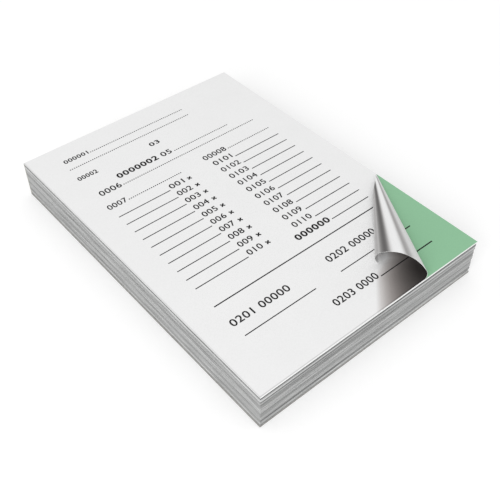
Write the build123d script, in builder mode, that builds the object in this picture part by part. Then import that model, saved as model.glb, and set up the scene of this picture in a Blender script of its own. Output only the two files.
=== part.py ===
"""Duplicate receipt book: a head-glued pad of numbered sets on a backing board.

Each set is a white original leaf over a green duplicate leaf. The corner of the top original is curled up
and rolled back over the page, with its tip turned under. Millimetres, +Z up, head of the pad towards +Y,
origin under the middle.
"""

import os
from math import asin, atan, atan2, cos, degrees, radians, sin

from build123d import *

# Leaves and sets
leaf_width = 105.0
leaf_length = 148.0
paper_thickness = 0.08
set_count = 100

# Backing board
board_thickness = 0.5

# Glue film on the head edge, feathered thin at its top so that turned leaves hang clear of it
film_thickness = 0.15
film_feather_height = 1.2
film_feather_edge = 0.05

# Sets that are nodes of their own, and how many sets share a node below them
single_sets = 10
batch_sets = 10

# How unevenly the pad is trimmed and jogged: sets slip inwards in small bundles, single sets a little more
bundle_sets = 5
bundle_slip = 0.36
set_slip = 0.06

# Curled corner of the top original: where it lifts, measured from the corner along the side and the foot
curl_side = 51.0
curl_foot = 30.0
# The lift line is carried on past the side edge to the point where all the curl's straight lines meet
curl_lead = 5.0
# A tight bend, a wide roll back over the page and a tuck that turns the tip under: radii at the foot edge
bend_radius = 1.8
roll_radius = 12.5
tuck_radius = 3.4
bend_turn = 123.0
roll_turn = 84.0
bend_steps = 12
roll_steps = 14
tuck_steps = 16
# Width left at the very tip of the corner
curl_tip = 0.5

# Derived places: head and foot edges, centred with the film, and heights in the stack
head_y = (leaf_length - film_thickness) / 2
foot_y = head_y - leaf_length
half_width = leaf_width / 2
set_thickness = 2 * paper_thickness
stack_top = board_thickness + set_count * set_thickness
golden = (5**0.5 - 1) / 2


def slip(count, phase):
    """A share from 0 to 1 that jumps about evenly as count goes up."""
    return (count * golden + phase) % 1


def inset(number, phase):
    """How far the edges of one set stand inside the full leaf. The top bundle is full size."""
    bundle = (number - 1) // bundle_sets
    if bundle == 0:
        return 0.0
    return bundle_slip * slip(bundle, phase) + set_slip * slip(number, phase)


def underside(number, duplicate):
    """Height of the underside of the original or the duplicate of one set."""
    leaves_below = 2 * (set_count - number) + (0 if duplicate else 1)
    return board_thickness + leaves_below * paper_thickness


def leaf_outline(number):
    """Corners of a flat leaf: head right, head left, foot left, foot right."""
    left = -half_width + inset(number, 0.2)
    right = half_width - inset(number, 0.55)
    foot = foot_y + inset(number, 0.85)
    return [(right, head_y), (left, head_y), (left, foot), (right, foot)]


def write(piece, name):
    """Labels a finished piece and writes it as its own node."""
    piece.part.label = name
    export_step(piece.part, f"parts/{name}.step")


os.makedirs("parts", exist_ok=True)

# Backing board, full size, with the underside that the pad rests on
with BuildPart() as backing_board:
    with BuildSketch():
        with Locations((0, (head_y + foot_y) / 2)):
            Rectangle(leaf_width, leaf_length)
    extrude(amount=board_thickness)
write(backing_board, "backing_board")

# Glue film over the head edges of the board and of every set but the top one, whose leaves turn
film_top = stack_top - set_thickness
with BuildPart() as glue_film:
    with BuildSketch(Plane.YZ.offset(-half_width)):
        with BuildLine():
            Polyline(
                (head_y, 0),
                (head_y + film_thickness, 0),
                (head_y + film_thickness, film_top - film_feather_height),
                (head_y + film_feather_edge, film_top),
                (head_y, film_top),
                close=True,
            )
        make_face()
    extrude(amount=leaf_width)
write(glue_film, "glue_film")

# Top original: the flat part of the leaf, then its corner as ruled strips between neighbouring straight lines
lift_angle = atan2(curl_foot, curl_side)
top_underside = underside(1, duplicate=False)
apex_past_edge = curl_lead * sin(lift_angle)
apex_to_foot = curl_side + curl_lead * cos(lift_angle)
apex = Vector(half_width + apex_past_edge, foot_y + apex_to_foot, top_underside)


def cone_of(radius, flat_angle):
    """Half-angle of the cone that has this radius where its line at a flat angle meets the foot edge."""
    return asin(radius * cos(flat_angle) / apex_to_foot)


# Cones of the bend, the roll and the tuck; the tuck uses up what is left of the corner's flat angle
bend_cone = cone_of(bend_radius, lift_angle)
angle_after_bend = lift_angle - radians(bend_turn) * sin(bend_cone)
roll_cone = cone_of(roll_radius, angle_after_bend)
angle_after_roll = angle_after_bend - radians(roll_turn) * sin(roll_cone)
tuck_cone = cone_of(tuck_radius, angle_after_roll)
tip_angle = atan(apex_past_edge / (apex_to_foot - curl_tip))
tuck_turn = degrees((angle_after_roll - tip_angle) / sin(tuck_cone))


def curl_lines():
    """Straight lines of the curl in turn: direction from the apex, inward normal and angle on the flat leaf."""
    along = Vector(-sin(lift_angle), -cos(lift_angle), 0)
    inward = Vector(0, 0, 1)
    flat_angle = lift_angle
    lines = [(along, inward, flat_angle)]
    stages = (
        (bend_cone, bend_turn, bend_steps),
        (roll_cone, roll_turn, roll_steps),
        (tuck_cone, tuck_turn, tuck_steps),
    )
    for cone, turn, steps in stages:
        axis = Axis((0, 0, 0), along * cos(cone) + inward * sin(cone))
        for _ in range(steps):
            along = along.rotate(axis, turn / steps)
            inward = inward.rotate(axis, turn / steps)
            flat_angle -= radians(turn / steps) * sin(cone)
            lines.append((along, inward, flat_angle))
    return lines


with BuildPart() as original_001:
    with BuildSketch(Plane.XY.offset(top_underside)):
        with BuildLine():
            Polyline(
                (half_width, head_y),
                (-half_width, head_y),
                (-half_width, foot_y),
                (half_width - curl_foot, foot_y),
                (half_width, foot_y + curl_side),
                close=True,
            )
        make_face()
    extrude(amount=paper_thickness)
    for along, inward, flat_angle in curl_lines():
        side_end = apex_past_edge / sin(flat_angle)
        foot_end = apex_to_foot / cos(flat_angle)
        with BuildSketch(Plane(origin=apex, x_dir=along, z_dir=along.cross(inward))):
            with BuildLine():
                Polyline(
                    (side_end, 0),
                    (foot_end, 0),
                    (foot_end, paper_thickness),
                    (side_end, paper_thickness),
                    close=True,
                )
            make_face()
    loft(ruled=True)
write(original_001, "original_001")

# The other leaves of the upper sets, one node each
for number in range(1, single_sets + 1):
    for name, duplicate in (("original", False), ("duplicate", True)):
        if number == 1 and not duplicate:
            continue
        with BuildPart() as leaf:
            with BuildSketch(Plane.XY.offset(underside(number, duplicate))):
                with BuildLine():
                    Polyline(*leaf_outline(number), close=True)
                make_face()
            extrude(amount=paper_thickness)
        write(leaf, f"{name}_{number:03d}")

# The sets below, in batches: a node of originals and a node of duplicates, each leaf a separate solid
for first in range(single_sets + 1, set_count + 1, batch_sets):
    last = min(first + batch_sets - 1, set_count)
    for name, duplicate in (("originals", False), ("duplicates", True)):
        with BuildPart() as batch:
            for number in range(first, last + 1):
                with BuildSketch(Plane.XY.offset(underside(number, duplicate))):
                    with BuildLine():
                        Polyline(*leaf_outline(number), close=True)
                    make_face()
                extrude(amount=paper_thickness)
        write(batch, f"{name}_{first:03d}_{last:03d}")
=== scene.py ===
"""Looks of the duplicate receipt book: paper, print, curled corner, leaf edges, board and glue film."""

from math import asin, atan, atan2, ceil, cos, degrees, exp, hypot, pi, radians, sin
import bmesh
import bpy
from mathutils import Matrix, Vector


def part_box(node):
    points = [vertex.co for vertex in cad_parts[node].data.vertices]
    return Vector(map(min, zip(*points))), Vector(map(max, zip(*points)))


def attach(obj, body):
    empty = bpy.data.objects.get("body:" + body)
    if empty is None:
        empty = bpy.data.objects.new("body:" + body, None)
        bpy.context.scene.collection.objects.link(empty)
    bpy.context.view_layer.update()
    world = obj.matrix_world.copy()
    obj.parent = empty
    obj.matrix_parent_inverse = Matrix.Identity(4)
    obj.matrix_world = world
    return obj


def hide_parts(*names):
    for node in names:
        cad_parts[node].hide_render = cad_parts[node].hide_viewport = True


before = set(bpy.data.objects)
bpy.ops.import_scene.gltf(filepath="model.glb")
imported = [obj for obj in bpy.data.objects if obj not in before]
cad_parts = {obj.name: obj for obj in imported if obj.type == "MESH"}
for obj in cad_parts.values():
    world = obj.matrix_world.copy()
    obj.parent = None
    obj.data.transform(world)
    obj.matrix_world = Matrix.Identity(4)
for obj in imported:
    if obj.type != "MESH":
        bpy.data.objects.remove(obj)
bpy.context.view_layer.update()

# Lengths are millimetres, apart from the studio's, turns are degrees and colours are linear
mm = 0.001

# Sizes repeated from the part's source
leaf_width = 105.0
leaf_length = 148.0
paper_thickness = 0.08
curl_side = 51.0
curl_foot = 30.0
curl_lead = 5.0
curl_tip = 0.5
bend_radius = 1.8
roll_radius = 12.5
tuck_radius = 3.4
bend_turn = 123.0
roll_turn = 84.0

# Finer steps than the solid has, so that the curl reads as one smooth sheet
fan_steps = 24
bend_steps = 30
roll_steps = 48
tuck_steps = 36
# Edges that turn more than this stay sharp
sharp_turn = 40.0
# Hair's breadth under the top leaf, so that it touches nothing as it turns
top_leaf_gap = 0.002
# Faces of the curled leaf, by their material's place
printed_side = 0
back_side = 1
cut_side = 2

# Places in the frame
half_width = leaf_width / 2
page_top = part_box("duplicate_001")[1].z / mm
second_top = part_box("original_002")[1].z / mm
foot_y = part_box("duplicate_001")[0].y / mm
head_y = foot_y + leaf_length
page_centre_y = foot_y + leaf_length / 2
stack_top = page_top + paper_thickness

# A face lies if the upright part of its normal is over this, and is a wall if the level part is
lying_limit = 0.5

# Print: how far ink stands over the paper and reaches into it, and the sizes of rules, dots and crosses
ink_rise = 0.006
ink_sink = 0.004
thin_rule = 0.42
thick_rule = 0.51
dot_size = 0.64
dot_pitch = 0.95
dot_corners = 6
cross_size = 1.5
cross_stroke = 0.6
# Points of the print that are closer than this become one
print_weld = 0.0001
# Rules are heavier on the green copy than on the white leaves
plain_weight = 1.0
copy_weight = 1.3
# A rule that ends past this x and lies below this y is made in short lengths, because the curl may take it
curling_x = 20.0
curling_y = -40.0
rule_length = 0.5

# Digits, in parts of the font's size: how far each side of a stroke moves out
plain_gain = 0.016
small_gain = 0.026
bold_gain = 0.036
# Wider strokes need more room from digit to digit
gain_spacing = 4.0
# Steps of a curve, half the height of the solids, and how close points are that become one
digit_curve_steps = 5
digit_half_height = 0.5
digit_weld = 0.004
# The higher this is, the less a sharp corner moves out
miter_limit = 0.3
# A face that would shrink below this share of its area has its corners moved less, in rounds
fold_share = 0.1
fold_back = 0.7
fold_rounds = 12

# The form, from the middle of the page. Digits: text, left end, right end, base line, height and gain
form_numbers = (
    ("000001", -39.8, -28.5, 62.3, 2.4, small_gain),
    ("00002", -41.0, -32.0, 49.4, 2.5, small_gain),
    ("03", -6.4, -1.6, 49.4, 2.5, small_gain),
    ("0000002", -28.0, -8.4, 40.6, 3.1, bold_gain),
    ("05", -6.6, -1.6, 40.6, 3.0, plain_gain),
    ("0006", -39.2, -29.4, 35.9, 3.2, plain_gain),
    ("0007", -41.2, -32.6, 27.1, 2.9, plain_gain),
    ("00008", 5.2, 16.6, 27.3, 2.9, plain_gain),
    ("000000", 2.6, 19.4, -31.5, 3.1, bold_gain),
    ("0201 00000", -41.2, -15.3, -47.4, 3.2, plain_gain),
    ("0202 00000", 3.6, 27.9, -46.8, 3.2, plain_gain),
    ("0203 0000", -8.8, 12.2, -63.1, 3.2, plain_gain),
)
# Dotted rules: left end, right end and place up the page
form_dots = (
    (-27.6, 19.5, 62.7),
    (-40.1, 19.5, 57.8),
    (-0.3, 27.3, 41.0),
    (-28.4, 38.6, 36.6),
    (-31.8, -6.5, 27.8),
    (17.7, 40.0, 27.9),
)
# Rules: left end, right end, place up the page and width
form_rules = (
    (20.3, 40.0, -30.95, thin_rule),
    (-40.7, 40.0, -36.42, thick_rule),
    (-40.6, -8.6, -52.5, thin_rule),
    (3.6, 40.0, -52.4, thin_rule),
    (12.8, 40.0, -63.0, thin_rule),
)
# Two columns of rows, each row a rule with digits beside it: the top row's place, and the ends of both
row_count = 10
row_pitch = 5.29
row_digit_height = 2.9
row_digit_rise = 0.2
left_top_row = 21.7
left_rule = (-40.6, -16.6)
left_digits = (-15.8, -9.0)
right_top_row = 21.89
right_rule = (16.5, 40.2)
right_digits = (6.4, 15.6)
# Crosses beside the left column
cross_x = -6.4
cross_rise = 1.2

# Colours
paper_white = (0.847, 0.847, 0.847)
copy_green = (0.274, 0.523, 0.325)
white_edge = (0.9, 0.9, 0.9)
green_edge = (0.885, 0.9, 0.888)
ink_black = (0.01, 0.0096, 0.01)
board_dark = (0.36, 0.355, 0.34)
board_light = (0.54, 0.53, 0.51)
glue_dark = (0.62, 0.605, 0.55)
glue_light = (0.76, 0.75, 0.7)
white = (1.0, 1.0, 1.0)

# Where most values of a noise lie
noise_low = 0.3
noise_high = 0.7
# A warm tone loses this much of its green for all that it loses of its blue
warm_green = 0.7

# Painted shade and highlight lines along the cut edges of the stack: depth below its top, and tone. They
# fall to the right
painted_edge_lines = (
    (0.0, 1.0),
    (0.2, 1.0),
    (0.27, 0.12),
    (0.95, 0.12),
    (1.25, 0.5),
    (1.85, 0.8),
    (2.35, 0.8),
    (2.75, 0.34),
    (3.2, 0.34),
    (3.5, 0.62),
    (4.0, 0.66),
    (4.5, 0.44),
    (5.2, 0.42),
    (5.9, 0.46),
    (6.4, 0.54),
    (6.9, 0.72),
    (7.5, 0.55),
    (8.2, 0.6),
    (9.0, 0.6),
    (9.5, 0.44),
    (10.0, 0.4),
    (10.6, 0.58),
    (11.1, 0.55),
    (11.9, 0.64),
    (12.7, 0.46),
    (13.4, 0.32),
    (14.0, 0.44),
    (14.7, 0.86),
    (15.2, 0.6),
    (15.7, 0.32),
)
line_slope = 0.0095
# The long sides: how much of that is evened out, to which tone, and the depths where this comes in
soft_share = 0.4
soft_tone = (0.54, 0.54, 0.54)
soft_from = 1.3
soft_to = 2.1
# There depth counts less by this share near the top, so that the topmost lines are wider than on the foot
side_spread = 0.25
# Towards the right end of the foot the topmost lines are evened out instead, between these places
end_share = 0.55
end_from = 5.0
end_to = 45.0
# Margin of a leaf that takes the same tones where it shows as a ledge, and the depth where ledges start
ledge_margin = 0.7
ledge_depth = 2.5 * paper_thickness

# Painted shade line along the rim of the top page: distance in from the foot or the left side, and tone
# against the face
rim_width = 1.5
foot_rim_shade = ((0.0, 1.0), (0.2, 1.0), (0.32, 0.74), (0.52, 0.74), (0.75, 1.0))
side_rim_shade = ((0.0, 0.84), (0.3, 0.84), (0.65, 1.0))
# Painted highlight, a white line along the foot edge of faces on the stack: how far in at the left corner,
# and how much less per length along
foot_highlight_width = 0.24
foot_highlight_taper = 0.002
foot_highlight_white = (0.95, 0.95, 0.95)
# Painted highlight along the top rim of the upright edge below: depth and tone
rim_highlight_depth = 0.2
rim_highlight_tone = (1.06, 1.06, 1.06)

# Painted shade on the curled leaf's printed face: angle at the apex where it starts, fall of its tone, and
# steps
shade_angle = radians(45.6)
page_fall = 7.0
shade_steps = 12
# It grows on over this share of the curl's turn, and later clears over a span that ends at another share
growing_share = 0.2
clear_share = 0.85
clearing_span = 0.35
darkest_place = (1.0 + growing_share) / 2
page_warmth = 0.17
page_fade = (0.1, 0.5)
# Middle line of the shaded page, and the distances along it from the apex between which the roll opens
shade_middle = radians(40.0)
roll_mouth = (52.3, 63.0)
# How much later the shade starts deep inside the roll: as a share of its place, and as a step
late_share = 0.15
late_step = 0.13

# Painted shade and highlight bands on the back, which catches the light in turns: share of the curl's turn,
# from the fold, and tone
back_stops = (
    (0.0, 1.0),
    (0.15, 0.92),
    (0.44, 0.89),
    (0.454, 0.8),
    (0.47, 0.56),
    (0.484, 0.45),
    (0.492, 0.5),
    (0.502, 0.76),
    (0.514, 1.02),
    (0.53, 1.06),
    (0.558, 1.0),
    (0.57, 0.8),
    (0.582, 0.4),
    (0.592, 0.19),
    (0.603, 0.14),
    (0.614, 0.18),
    (0.63, 0.34),
    (0.66, 0.53),
    (0.71, 0.48),
    (0.79, 0.68),
    (0.88, 0.9),
)
back_warmth = 0.05
back_fade = (0.0, 0.02)

# Studio, in metres: floor, surroundings, lamp and camera
floor_size = 6.0
floor_height = -0.00005
floor_tone = (0.8, 0.8, 0.8)
floor_glow = 0.26
surround_light = 0.83
lamp_place = (-0.94, -0.5, 0.54)
lamp_aim = (0.0, 0.0, 0.01)
lamp_size = 0.8
lamp_power = 6.3
camera_azimuth = -40.206
camera_elevation = 45.402
camera_distance = 0.307395
camera_right = 0.004567
camera_down = 0.007709
camera_near = 0.01
# Camera sensor and lens, in millimetres
camera_sensor = 36.0
camera_lens = 54.995

# Sockets of a Mix node for colours
mix_share = 0
mix_first = 6
mix_second = 7
mix_result = 2


def node(tree, kind, inputs=None, **settings):
    """Adds a shader node, sets its properties, and fills its inputs with values or links."""
    made = tree.nodes.new("ShaderNode" + kind)
    for name, value in settings.items():
        setattr(made, name, value)
    for name, value in (inputs or {}).items():
        if isinstance(value, bpy.types.NodeSocket):
            tree.links.new(value, made.inputs[name])
        else:
            made.inputs[name].default_value = value
    return made


def new_material(name):
    """A node material with a Principled shader."""
    material = bpy.data.materials.new(name)
    material.use_nodes = True
    tree = material.node_tree
    tree.nodes.clear()
    shader = node(tree, "BsdfPrincipled")
    node(tree, "OutputMaterial", {"Surface": shader.outputs["BSDF"]})
    return material, tree, shader


def object_space(tree):
    """Place and normal of a point, in the object's own frame."""
    place = node(tree, "TexCoord").outputs
    return place["Object"], place["Normal"]


def parts_of(tree, vector):
    """The X, Y and Z of a vector."""
    return node(tree, "SeparateXYZ", {"Vector": vector}).outputs


def attribute(tree, name):
    """A value that the mesh carries on its vertices."""
    return node(tree, "Attribute", attribute_name=name).outputs["Fac"]


def calculate(tree, operation, first, second=0.0):
    """One arithmetic step between sockets or numbers."""
    return node(tree, "Math", {0: first, 1: second}, operation=operation).outputs["Value"]


def product(tree, first, second):
    """Product of two sockets, or of a socket and a number."""
    return calculate(tree, "MULTIPLY", first, second)


def rest_of(tree, value):
    """What is left of one."""
    return calculate(tree, "SUBTRACT", 1.0, value)


def spread(tree, value, low, high, source_low=0.0, source_high=1.0):
    """Maps a socket's range to another range."""
    limits = {"From Min": source_low, "From Max": source_high, "To Min": low, "To Max": high}
    return node(tree, "MapRange", {"Value": value, **limits}).outputs["Result"]


def as_colour(value):
    """A socket as it is, or a linear colour with its alpha."""
    return value if isinstance(value, bpy.types.NodeSocket) else (*value, 1.0)


def scaled(colour, share):
    """A colour made darker or lighter by a factor."""
    return tuple(channel * share for channel in colour)


def mix(tree, share, first, second, blend="MIX"):
    """Mixes two colours, sockets or linear tuples, by a share."""
    inputs = {mix_share: share, mix_first: as_colour(first), mix_second: as_colour(second)}
    return node(tree, "Mix", inputs, data_type="RGBA", blend_type=blend).outputs[mix_result]


def times(tree, first, second):
    """Colour product."""
    return mix(tree, 1.0, first, second, "MULTIPLY")


def ramp(tree, value, stops, warmth=0.0):
    """Tones by stops of position and tone. Warmth takes green and blue out of the dark tones."""
    made = node(tree, "ValToRGB", {"Fac": value})
    elements = made.color_ramp.elements
    while len(elements) < len(stops):
        elements.new(0.5)
    for element, (position, tone) in zip(elements, stops):
        element.position = position
        dark = (1.0 - tone) * warmth
        element.color = (tone, tone * (1.0 - warm_green * dark), tone * (1.0 - dark), 1.0)
    return made.outputs["Color"]


def noise(tree, coordinates, scale, detail=3.0, roughness=0.55):
    """Noise from 0 to 1. The scale is one number, or a tuple with one for each axis."""
    if isinstance(scale, tuple):
        coordinates = node(tree, "Mapping", {"Vector": coordinates, "Scale": scale}).outputs["Vector"]
        scale = 1.0
    inputs = {"Vector": coordinates, "Scale": scale, "Detail": detail, "Roughness": roughness}
    return node(tree, "TexNoise", inputs).outputs["Fac"]


def noise_tones(tree, value, low, high):
    """Tones from the low to the high values of a noise."""
    return ramp(tree, value, ((noise_low, low), (noise_high, high)))


def noise_colours(tree, value, first, second):
    """Colours from the low to the high values of a noise."""
    return mix(tree, spread(tree, value, 0.0, 1.0, noise_low, noise_high), first, second)


def looks_up(tree, normal):
    """One on faces that lie and look up, else zero."""
    return calculate(tree, "GREATER_THAN", parts_of(tree, normal)["Z"], lying_limit)


def lies_flat(tree, normal):
    """One on faces that lie, whichever way they look, else zero."""
    upright = calculate(tree, "ABSOLUTE", parts_of(tree, normal)["Z"])
    return calculate(tree, "GREATER_THAN", upright, lying_limit)


def finish_surface(tree, shader, colour, roughness, gloss):
    """Plugs colour and roughness into a shader and sets its gloss."""
    tree.links.new(colour, shader.inputs["Base Color"])
    tree.links.new(roughness, shader.inputs["Roughness"])
    shader.inputs["Specular IOR Level"].default_value = gloss


def add_bump(tree, shader, height, depth, strength):
    """Fine relief from a height value, with its full depth."""
    bump = node(tree, "Bump", {"Height": height, "Distance": depth * mm, "Strength": strength})
    tree.links.new(bump.outputs["Normal"], shader.inputs["Normal"])


def paper_face(tree, coordinates, colour):
    """Colour of a sheet's face, which is fibre mottle over soft clouds, and the fibres' own value."""
    fibres = noise(tree, coordinates, scale=(1500, 2300, 1500), detail=4.0, roughness=0.65)
    clouds = noise(tree, coordinates, scale=90.0, detail=2.0)
    mottled = noise_colours(tree, fibres, scaled(colour, 0.975), scaled(colour, 1.02))
    return times(tree, mottled, noise_tones(tree, clouds, low=0.985, high=1.0)), fibres


def finish_paper(tree, shader, colour, fibres):
    """Plugs a paper look into its shader."""
    finish_surface(tree, shader, colour, spread(tree, fibres, low=0.74, high=0.9), gloss=0.25)
    add_bump(tree, shader, fibres, depth=0.006, strength=0.6)


def edge_tone(tree, coordinates, normal):
    """Grey of the stacked leaf edges: painted shade and highlight lines between bundles, finer leaf lines
    in them, and a painted highlight along the top rim of the foot and head walls.

    On the long sides the lines below the topmost ones are softer than on the foot.
    """
    place = parts_of(tree, coordinates)
    sideways = calculate(tree, "ABSOLUTE", parts_of(tree, normal)["X"])
    footwards = rest_of(tree, sideways)
    fall = product(tree, calculate(tree, "ADD", place["X"], half_width * mm), line_slope)
    depth = spread(tree, calculate(tree, "ADD", place["Z"], fall), 1.0, 0.0, 0.0, stack_top * mm)
    topmost = spread(tree, depth, 1.0, 0.0, soft_from / stack_top, soft_to / stack_top)
    widened = product(tree, product(tree, sideways, topmost), side_spread)
    line_depth = product(tree, depth, rest_of(tree, widened))
    # Painted shade and highlight lines, by depth in the stack
    bundles = ramp(tree, line_depth, [(below / stack_top, tone) for below, tone in painted_edge_lines])
    at_side = product(tree, sideways, spread(tree, topmost, soft_share, 0.0))
    right_end = spread(tree, place["X"], 0.0, end_share, end_from * mm, end_to * mm)
    at_end = product(tree, footwards, product(tree, right_end, topmost))
    softened = mix(tree, calculate(tree, "ADD", at_side, at_end), bundles, soft_tone)
    long_lines = noise(tree, coordinates, scale=(70, 70, 2300), detail=2.0)
    fine_lines = noise(tree, coordinates, scale=(60, 60, 9000), detail=2.0)
    lined = times(tree, softened, noise_tones(tree, long_lines, low=0.76, high=1.12))
    fine = times(tree, lined, noise_tones(tree, fine_lines, low=0.92, high=1.0))
    # Painted highlight along the top rim of the foot and head walls
    at_top = calculate(tree, "LESS_THAN", depth, rim_highlight_depth / stack_top)
    return mix(tree, product(tree, at_top, footwards), fine, rim_highlight_tone)


def near_edge(tree, coordinates):
    """One on the margin of a leaf that shows as a ledge under leaves that stand further in, else zero."""
    place = parts_of(tree, coordinates)
    from_middle = calculate(tree, "ABSOLUTE", place["X"])
    at_side = calculate(tree, "GREATER_THAN", from_middle, (half_width - ledge_margin) * mm)
    at_foot = calculate(tree, "LESS_THAN", place["Y"], (foot_y + ledge_margin) * mm)
    covered = calculate(tree, "LESS_THAN", place["Z"], (stack_top - ledge_depth) * mm)
    return product(tree, calculate(tree, "MAXIMUM", at_side, at_foot), covered)


def with_foot_highlight(tree, coordinates, normal, colour):
    """Paints a white highlight line along the edge of the foot, on faces that look up and lie on the stack.
    """
    place = parts_of(tree, coordinates)
    taper = product(tree, calculate(tree, "ADD", place["X"], half_width * mm), foot_highlight_taper)
    tapered = calculate(tree, "ADD", place["Y"], taper)
    at_foot = calculate(tree, "LESS_THAN", tapered, (foot_y + foot_highlight_width) * mm)
    on_stack = calculate(tree, "LESS_THAN", place["Z"], (stack_top + paper_thickness) * mm)
    shown = product(tree, looks_up(tree, normal), on_stack)
    return mix(tree, product(tree, at_foot, shown), colour, foot_highlight_white)


def with_rim_shade(tree, coordinates, normal, colour):
    """Paints a thin grey shade line along the rim of the flat page."""
    place = parts_of(tree, coordinates)
    from_foot = spread(tree, place["Y"], 0.0, 1.0, foot_y * mm, (foot_y + rim_width) * mm)
    from_left = spread(tree, place["X"], 0.0, 1.0, -half_width * mm, (rim_width - half_width) * mm)
    rimmed = colour
    for inwards, stops in ((from_foot, foot_rim_shade), (from_left, side_rim_shade)):
        tones = ramp(tree, inwards, [(distance / rim_width, tone) for distance, tone in stops])
        rimmed = times(tree, rimmed, tones)
    return mix(tree, looks_up(tree, normal), colour, rimmed)


def leaf_material(name, colour, edge_tint):
    """Paper whose faces show the sheet and whose narrow sides show the stack's painted shade and highlight
    lines.
    """
    material, tree, shader = new_material(name)
    coordinates, normal = object_space(tree)
    sheet, fibres = paper_face(tree, coordinates, colour)
    # Painted white highlight line along the foot edge
    face = with_foot_highlight(tree, coordinates, normal, sheet)
    tinted = mix(tree, fibres, scaled(edge_tint, 0.97), edge_tint)
    edges = times(tree, tinted, edge_tone(tree, coordinates, normal))
    open_face = calculate(tree, "SUBTRACT", lies_flat(tree, normal), near_edge(tree, coordinates))
    finish_paper(tree, shader, mix(tree, open_face, edges, face), fibres)
    return material


def curled_face_material(name, shade_place, stops, warmth, fade, late_by_share=0.0, late_by_step=0.0):
    """Paper of the curled leaf, with a painted soft shade that lies along the curl's straight lines.

    The shade comes in over a stretch of each line, given as shares of its length from the leaf's side.
    Deep inside the roll, where little light comes in anyway, it starts later, by a share and by a step.
    """
    material, tree, shader = new_material(name)
    coordinates, normal = object_space(tree)
    sheet, fibres = paper_face(tree, coordinates, paper_white)
    # Painted shade line along the rim of the page
    face = with_rim_shade(tree, coordinates, normal, sheet)
    deep = spread(tree, attribute(tree, "out_of_roll"), 1.0, 0.0, *roll_mouth)
    kept = rest_of(tree, product(tree, deep, late_by_share))
    step = product(tree, calculate(tree, "POWER", deep, 2.0), late_by_step)
    along = calculate(tree, "SUBTRACT", product(tree, attribute(tree, shade_place), kept), step)
    shade = ramp(tree, along, stops, warmth)
    shown = spread(tree, attribute(tree, "from_side"), 0.0, 1.0, *fade)
    shaded = mix(tree, shown, face, times(tree, face, shade))
    # Painted white highlight line along the foot edge, kept white over the painted shade
    finish_paper(tree, shader, with_foot_highlight(tree, coordinates, normal, shaded), fibres)
    return material


def board_material():
    """Grey chipboard: speckled recycled fibre, rough, with darker cut edges."""
    material, tree, shader = new_material("grey_chipboard")
    coordinates, normal = object_space(tree)
    pulp = noise(tree, coordinates, scale=700.0, detail=6.0, roughness=0.7)
    specks = noise(tree, coordinates, scale=2200.0, detail=2.0)
    clouds = noise(tree, coordinates, scale=60.0)
    grey = noise_colours(tree, pulp, board_dark, board_light)
    speckled = times(tree, grey, ramp(tree, specks, ((0.3, 0.55), (0.38, 1.0))))
    face = times(tree, speckled, noise_tones(tree, clouds, low=0.88, high=1.0))
    cut = times(tree, face, ramp(tree, clouds, ((0.0, 0.7), (1.0, 0.85))))
    sided = mix(tree, lies_flat(tree, normal), cut, face)
    finish_surface(tree, shader, sided, spread(tree, pulp, low=0.8, high=0.97), gloss=0.2)
    add_bump(tree, shader, pulp, depth=0.03, strength=0.7)
    return material


def glue_material():
    """Padding glue: milky satin film brushed along the head, with the leaf lines faintly through it."""
    material, tree, shader = new_material("padding_glue_film")
    coordinates, _ = object_space(tree)
    brush = noise(tree, coordinates, scale=(25, 700, 900), detail=4.0, roughness=0.6)
    leaves = noise(tree, coordinates, scale=(10, 10, 5200), detail=2.0)
    pools = noise(tree, coordinates, scale=130.0)
    milk = noise_colours(tree, brush, glue_dark, glue_light)
    through = times(tree, milk, noise_tones(tree, leaves, low=0.84, high=1.0))
    pooled = times(tree, through, noise_tones(tree, pools, low=0.93, high=1.0))
    finish_surface(tree, shader, pooled, spread(tree, pools, low=0.28, high=0.5), gloss=0.45)
    height = calculate(tree, "ADD", brush, product(tree, leaves, 0.6))
    add_bump(tree, shader, height, depth=0.03, strength=0.5)
    return material


def ink_material():
    """Printing ink: near black, slightly uneven where it sinks into the paper."""
    material, tree, shader = new_material("printing_ink")
    coordinates, _ = object_space(tree)
    cover = noise(tree, coordinates, scale=4200.0)
    thin = spread(tree, cover, 0.0, 1.0, source_low=0.35, source_high=0.75)
    tone = mix(tree, thin, ink_black, scaled(ink_black, 2.0))
    finish_surface(tree, shader, tone, spread(tree, cover, low=0.55, high=0.8), gloss=0.15)
    return material


# The curl: a tight bend, a wide roll and a tuck, all cones that share one apex just past the leaf's side
lift_angle = atan2(curl_foot, curl_side)
apex_past_edge = curl_lead * sin(lift_angle)
apex_to_foot = curl_side + curl_lead * cos(lift_angle)
apex = Vector((half_width + apex_past_edge, foot_y + apex_to_foot, page_top))


def cone_of(radius, flat_angle):
    """Half-angle of the cone that has this radius where its line at a flat angle meets the foot edge."""
    return asin(radius * cos(flat_angle) / apex_to_foot)


bend_cone = cone_of(bend_radius, lift_angle)
angle_after_bend = lift_angle - radians(bend_turn) * sin(bend_cone)
roll_cone = cone_of(roll_radius, angle_after_bend)
angle_after_roll = angle_after_bend - radians(roll_turn) * sin(roll_cone)
tuck_cone = cone_of(tuck_radius, angle_after_roll)
tip_angle = atan(apex_past_edge / (apex_to_foot - curl_tip))
tuck_turn = degrees((angle_after_roll - tip_angle) / sin(tuck_cone))
curl_stages = ((bend_cone, bend_turn), (roll_cone, roll_turn), (tuck_cone, tuck_turn))
whole_turn = bend_turn + roll_turn + tuck_turn


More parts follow.
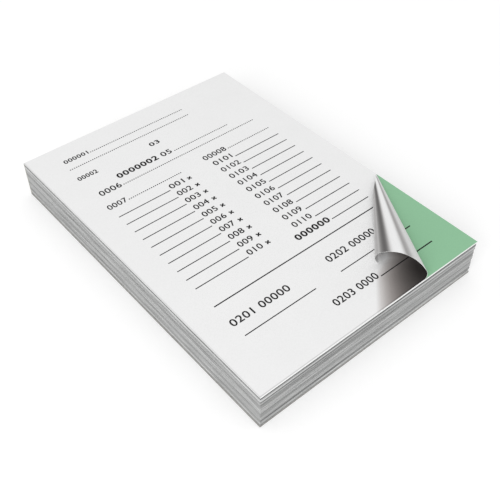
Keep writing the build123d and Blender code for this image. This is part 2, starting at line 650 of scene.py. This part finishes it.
def curl_line(flat_angle):
    """Direction from the apex, inward normal and turn so far of the line at an angle on the flat leaf."""
    start = max(flat_angle, lift_angle)
    along = Vector((-sin(start), -cos(start), 0.0))
    inward = Vector((0.0, 0.0, 1.0))
    turned = 0.0
    left = max(lift_angle - flat_angle, 0.0)
    for cone, turn in curl_stages:
        part = min(degrees(left / sin(cone)), turn)
        axis = along * cos(cone) + inward * sin(cone)
        rotation = Matrix.Rotation(radians(part), 3, axis)
        along = rotation @ along
        inward = rotation @ inward
        turned += part
        left = max(left - radians(part) * sin(cone), 0.0)
    return along, inward, turned


def on_curled_leaf(x, y, height):
    """A point of the flat page, at a height over its printed face, carried on to the curled leaf."""
    flat_angle = atan2(apex.x - x, apex.y - y)
    if flat_angle >= lift_angle:
        return Vector((x, y, stack_top + height))
    along, inward, _ = curl_line(flat_angle)
    reach = hypot(apex.x - x, apex.y - y)
    return apex + along * reach + inward * (paper_thickness + height)


def on_flat_leaf(top):
    """A function that puts a point of the flat page on a leaf whose face is at that height."""
    return lambda x, y, height: Vector((x, y, top + height))


def leaf_angles():
    """Angles of the straight lines from where the shade starts, over the lift line, to the corner's tip."""
    angles = [shade_angle]
    spans = (
        (lift_angle, fan_steps),
        (angle_after_bend, bend_steps),
        (angle_after_roll, roll_steps),
        (tip_angle, tuck_steps),
    )
    for end, steps in spans:
        start = angles[-1]
        for step in range(1, steps + 1):
            angles.append(start + (end - start) * step / steps)
    return angles


def page_shade(flat_angle, turned):
    """Place in the printed face's painted shade, which grows over the page and the bend and clears to the
    tip.
    """
    turned_share = turned / whole_turn
    page_share = min((shade_angle - flat_angle) / (shade_angle - lift_angle), 1.0)
    growing = (page_share + min(turned_share, growing_share)) / 2
    clearing = darkest_place * (clear_share - turned_share) / clearing_span
    return max(min(growing, clearing), 0.0)


def page_stops():
    """Tones of the printed face's painted shade: each line nearer the fold is darker by the same factor."""
    stops = []
    for step in range(shade_steps + 1):
        place = darkest_place * step / shade_steps
        stops.append((place, exp(-page_fall * place)))
    return stops


def curl_rows(made):
    """Vertices along each straight line of the curl: under and over the sheet, at its side and its foot."""
    shade_layer = made.verts.layers.float.new("page_shade")
    turn_layer = made.verts.layers.float.new("curl_turn")
    side_layer = made.verts.layers.float.new("from_side")
    out_layer = made.verts.layers.float.new("out_of_roll")
    outwards = Vector((-sin(shade_middle), -cos(shade_middle), 0.0))
    rows = []
    for flat_angle in leaf_angles():
        along, inward, turned = curl_line(flat_angle)
        reaches = (apex_past_edge / sin(flat_angle), apex_to_foot / cos(flat_angle))
        row = []
        for rise in (top_leaf_gap, paper_thickness):
            for at_foot, reach in enumerate(reaches):
                vertex = made.verts.new((apex + along * reach + inward * rise) * mm)
                vertex[shade_layer] = page_shade(flat_angle, turned)
                vertex[turn_layer] = turned / whole_turn
                vertex[side_layer] = at_foot
                vertex[out_layer] = reach * along.dot(outwards)
                row.append(vertex)
        rows.append(row)
    return rows


def curled_leaf_mesh():
    """Closed mesh of the top original: the flat sheet, then strips from line to line of the curl."""
    made = bmesh.new()
    rows = curl_rows(made)
    flat = []
    for rise in (top_leaf_gap, paper_thickness):
        corners = ((half_width, head_y), (-half_width, head_y), (-half_width, foot_y))
        flat.append([made.verts.new(Vector((x, y, page_top + rise)) * mm) for x, y in corners])
    under, over = flat
    under_side, under_foot, over_side, over_foot = rows[0]
    faces = [
        ([*over, over_foot, over_side], printed_side),
        ([*reversed(under), under_side, under_foot], back_side),
        ([under[0], under[1], over[1], over[0]], cut_side),
        ([under[1], under[2], over[2], over[1]], cut_side),
        ([under[2], under_foot, over_foot, over[2]], cut_side),
        ([under_side, under[0], over[0], over_side], cut_side),
    ]
    for after in rows[1:]:
        next_under_side, next_under_foot, next_over_side, next_over_foot = after
        faces.append(([over_side, over_foot, next_over_foot, next_over_side], printed_side))
        faces.append(([under_foot, under_side, next_under_side, next_under_foot], back_side))
        faces.append(([under_foot, next_under_foot, next_over_foot, over_foot], cut_side))
        faces.append(([next_under_side, under_side, over_side, next_over_side], cut_side))
        under_side, under_foot, over_side, over_foot = after
    faces.append(([under_side, over_side, over_foot, under_foot], cut_side))
    for corners, side in faces:
        face = made.faces.new(corners)
        face.material_index = side
        face.smooth = side != cut_side
    bmesh.ops.recalc_face_normals(made, faces=made.faces)
    mesh = bpy.data.meshes.new("curled_original")
    made.to_mesh(mesh)
    made.free()
    mesh.set_sharp_from_angle(angle=radians(sharp_turn))
    return mesh


def plain_digits(text, gain):
    """Digits as closed solids in the font's own strokes, with room for wider ones."""
    data = bpy.data.curves.new("digits", "FONT")
    data.body = text
    data.resolution_u = digit_curve_steps
    data.extrude = digit_half_height
    data.space_character = 1.0 + gain_spacing * gain
    shape = bpy.data.objects.new("digits", data)
    bpy.context.collection.objects.link(shape)
    bpy.context.view_layer.update()
    evaluated = shape.evaluated_get(bpy.context.evaluated_depsgraph_get())
    mesh = bpy.data.meshes.new_from_object(evaluated)
    bpy.data.objects.remove(shape)
    bpy.data.curves.remove(data)
    return mesh


def stroke_moves(made, gain):
    """How far each vertex moves so that the two walls that meet there both move out by the gain."""
    moves = []
    for vertex in made.verts:
        walls = [face.normal for face in vertex.link_faces if face.normal.xy.length > lying_limit]
        first = walls[0]
        second = min(walls, key=first.dot)
        moves.append((first + second) * gain / max(1.0 + first.dot(second), miter_limit))
    lying = [face for face in made.faces if abs(face.normal.z) > lying_limit]
    for _ in range(fold_rounds):
        for face in lying:
            one, two, three = [vertex.co + moves[vertex.index] for vertex in face.verts[:3]]
            moved_area = (two - one).cross(three - one).dot(face.normal) / 2
            if moved_area < fold_share * face.calc_area():
                for vertex in face.verts:
                    moves[vertex.index] *= fold_back
    return moves


def digit_mesh(text, gain):
    """Digits as closed solids whose strokes are wider by the gain on each side."""
    mesh = plain_digits(text, gain)
    made = bmesh.new()
    made.from_mesh(mesh)
    bmesh.ops.remove_doubles(made, verts=made.verts, dist=digit_weld)
    made.normal_update()
    made.verts.index_update()
    for vertex, move in zip(made.verts, stroke_moves(made, gain)):
        vertex.co += move
    made.normal_update()
    walls = {face for face in made.faces if face.normal.xy.length >= lying_limit}
    lying = [face for face in made.faces if face not in walls]
    inner = [edge for edge in made.edges if walls.isdisjoint(edge.link_faces)]
    bmesh.ops.beautify_fill(made, faces=lying, edges=inner, method="ANGLE")
    made.to_mesh(mesh)
    made.free()
    return mesh


class InkSheet:
    """Collects printed marks in page millimetres and puts them on a leaf as thin closed solids."""

    def __init__(self, place, weight):
        self.place = place
        self.weight = weight
        self.made = bmesh.new()

    def point(self, x, y, height):
        """A new vertex at a place on the page and a height over its face."""
        return self.made.verts.new(self.place(x, y + page_centre_y, height) * mm)

    def prism(self, outline):
        """A mark with this outline, anticlockwise on the page."""
        below = [self.point(x, y, -ink_sink) for x, y in outline]
        above = [self.point(x, y, ink_rise) for x, y in outline]
        self.made.faces.new(above)
        self.made.faces.new(list(reversed(below)))
        for here in range(len(outline)):
            after = (here + 1) % len(outline)
            self.made.faces.new((below[here], below[after], above[after], above[here]))

    def rule(self, start, end, y, width):
        """A straight rule, in short lengths where the curl may take it."""
        lengths = ceil((end - start) / rule_length) if end > curling_x and y < curling_y else 1
        half = width * self.weight / 2
        rings = []
        for side, height in ((-half, -ink_sink), (-half, ink_rise), (half, ink_rise), (half, -ink_sink)):
            ring = []
            for step in range(lengths + 1):
                x = start + (end - start) * step / lengths
                ring.append(self.point(x, y + side, height))
            rings.append(ring)
        for ring, other in zip(rings, rings[1:] + rings[:1]):
            for here in range(lengths):
                after = here + 1
                self.made.faces.new((ring[here], ring[after], other[after], other[here]))
        self.made.faces.new([ring[0] for ring in rings])
        self.made.faces.new([ring[-1] for ring in reversed(rings)])

    def dots(self, start, end, y):
        """A dotted rule."""
        for step in range(int((end - start) / dot_pitch) + 1):
            x = start + step * dot_pitch
            outline = []
            for corner in range(dot_corners):
                turn = 2 * pi * corner / dot_corners
                outline.append((x + dot_size / 2 * cos(turn), y + dot_size / 2 * sin(turn)))
            self.prism(outline)

    def cross(self, x, y):
        """A multiplication cross of two strokes that share a middle."""
        notch = cross_stroke * sin(pi / 4)
        near = (cross_size - notch) / 2
        far = (cross_size + notch) / 2
        outline = []
        for quarter in range(4):
            turn = quarter * pi / 2
            for right, forward in ((notch, 0.0), (far, near), (near, far)):
                across = right * cos(turn) - forward * sin(turn)
                along = right * sin(turn) + forward * cos(turn)
                outline.append((x + across, y + along))
        self.prism(outline)

    def number(self, text, start, end, y, height, gain):
        """Plain digits set between two places on a line, with this digit height and stroke gain."""
        mesh = digit_mesh(text, gain)
        across = [vertex.co.x for vertex in mesh.vertices]
        upwards = [vertex.co.y for vertex in mesh.vertices]
        left = min(across)
        bottom = min(upwards)
        wide = max(across) - left
        tall = max(upwards) - bottom
        points = []
        for vertex in mesh.vertices:
            page_x = start + (vertex.co.x - left) * (end - start) / wide
            page_y = y + (vertex.co.y - bottom) * height / tall
            points.append(self.point(page_x, page_y, ink_rise if vertex.co.z > 0 else -ink_sink))
        for polygon in mesh.polygons:
            self.made.faces.new([points[index] for index in polygon.vertices])
        bpy.data.meshes.remove(mesh)

    def finish(self, name):
        """The finished mesh, with every face turned outwards."""
        bmesh.ops.remove_doubles(self.made, verts=self.made.verts, dist=print_weld * mm)
        bmesh.ops.recalc_face_normals(self.made, faces=self.made.faces)
        mesh = bpy.data.meshes.new(name)
        self.made.to_mesh(mesh)
        self.made.free()
        return mesh


def print_form(sheet):
    """The form: head fields, two columns of rows, a closing rule and three fields below it."""
    for field in form_numbers:
        sheet.number(*field)
    for line in form_dots:
        sheet.dots(*line)
    for line in form_rules:
        sheet.rule(*line)
    for row in range(row_count):
        right_y = right_top_row - row * row_pitch
        sheet.rule(*right_rule, right_y, thin_rule)
        right_base = right_y + row_digit_rise
        sheet.number(f"01{row + 1:02d}", *right_digits, right_base, row_digit_height, plain_gain)
        left_y = left_top_row - row * row_pitch
        sheet.rule(*left_rule, left_y, thin_rule)
        left_base = left_y + row_digit_rise
        sheet.number(f"{row + 1:03d}", *left_digits, left_base, row_digit_height, plain_gain)
        sheet.cross(cross_x, left_y + cross_rise)


def build_object(name, mesh, body, materials):
    """Links a mesh as a piece that rides on a CAD body."""
    made = bpy.data.objects.new(name, mesh)
    bpy.context.collection.objects.link(made)
    for material in materials:
        mesh.materials.append(material)
    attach(made, body)
    return made


white_paper = leaf_material("white_paper", paper_white, white_edge)
green_paper = leaf_material("green_copy_paper", copy_green, green_edge)
chipboard = board_material()
glue = glue_material()
ink = ink_material()
# The curled leaf's faces carry painted shade, and its back painted highlight bands
printed_face = curled_face_material(
    "curled_paper_printed_face", "page_shade", page_stops(), page_warmth, page_fade, late_share, late_step
)
back_face = curled_face_material("curled_paper_back_face", "curl_turn", back_stops, back_warmth, back_fade)

for name, cad_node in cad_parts.items():
    finish = white_paper
    if name.startswith("duplicate"):
        finish = green_paper
    elif name == "backing_board":
        finish = chipboard
    elif name == "glue_film":
        finish = glue
    cad_node.data.materials.clear()
    cad_node.data.materials.append(finish)

# Materials in the order of printed_side, back_side and cut_side
leaf_finishes = (printed_face, back_face, white_paper)
leaf_mesh = curled_leaf_mesh()
top_leaf = build_object("curled_original", leaf_mesh, "original_leaf", leaf_finishes)
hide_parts("original_001")

prints = (
    ("print_original_001", on_curled_leaf, plain_weight, "original_leaf", "white_paper"),
    ("print_duplicate_001", on_flat_leaf(page_top), copy_weight, "duplicate_leaf", "green_paper"),
    ("print_original_002", on_flat_leaf(second_top), plain_weight, "pad", "white_paper"),
)
for name, place, weight, body, slot in prints:
    sheet = InkSheet(place, weight)
    print_form(sheet)
    build_object(name, sheet.finish(name), body, (ink,))


def seen_rays(tree):
    """One for rays that the camera sees, straight or by way of gloss or glass, else zero."""
    path = node(tree, "LightPath").outputs
    seen = calculate(tree, "MAXIMUM", path["Is Camera Ray"], path["Is Glossy Ray"])
    return calculate(tree, "MAXIMUM", seen, path["Is Transmission Ray"])


def make_floor():
    """Plain white floor that keeps the soft shadow."""
    bpy.ops.mesh.primitive_plane_add(size=floor_size, location=(0.0, 0.0, floor_height))
    floor = bpy.context.object
    floor.name = "floor"
    material, tree, shader = new_material("floor_white")
    shader.inputs["Base Color"].default_value = as_colour(floor_tone)
    shader.inputs["Roughness"].default_value = 0.9
    shader.inputs["Specular IOR Level"].default_value = 0.0
    shader.inputs["Emission Color"].default_value = as_colour(white)
    glow = product(tree, seen_rays(tree), floor_glow)
    tree.links.new(glow, shader.inputs["Emission Strength"])
    floor.data.materials.append(material)


def make_surroundings():
    """Even white surroundings, seen as white."""
    world = bpy.data.worlds.new("studio")
    bpy.context.scene.world = world
    world.use_nodes = True
    tree = world.node_tree
    tree.nodes.clear()
    level = spread(tree, seen_rays(tree), surround_light, 1.0)
    background = node(tree, "Background", {"Color": as_colour(white), "Strength": level})
    node(tree, "OutputWorld", {"Surface": background.outputs["Background"]})


def add_lamp():
    """A square soft lamp aimed at the object."""
    data = bpy.data.lights.new("key", "AREA")
    data.size = lamp_size
    data.energy = lamp_power
    lamp = bpy.data.objects.new("key", data)
    lamp.location = lamp_place
    aim = Vector(lamp_aim) - Vector(lamp_place)
    lamp.rotation_euler = aim.to_track_quat("-Z", "Y").to_euler()
    bpy.context.collection.objects.link(lamp)


def add_camera():
    """Camera at the photograph's place: front left, about 45 degrees up."""
    azimuth = radians(camera_azimuth)
    elevation = radians(camera_elevation)
    back = Vector((sin(azimuth) * cos(elevation), -cos(azimuth) * cos(elevation), sin(elevation)))
    right = Vector((cos(azimuth), sin(azimuth), 0.0))
    up = back.cross(right)
    data = bpy.data.cameras.new("camera")
    data.sensor_width = camera_sensor
    data.lens = camera_lens
    data.clip_start = camera_near
    camera = bpy.data.objects.new("camera", data)
    eye = back * camera_distance + right * camera_right - up * camera_down
    camera.matrix_world = Matrix.Translation(eye) @ Matrix((right, up, back)).transposed().to_4x4()
    bpy.context.collection.objects.link(camera)
    bpy.context.scene.camera = camera


make_floor()
make_surroundings()
add_lamp()
add_camera()
bpy.context.scene.view_settings.view_transform = "Standard"
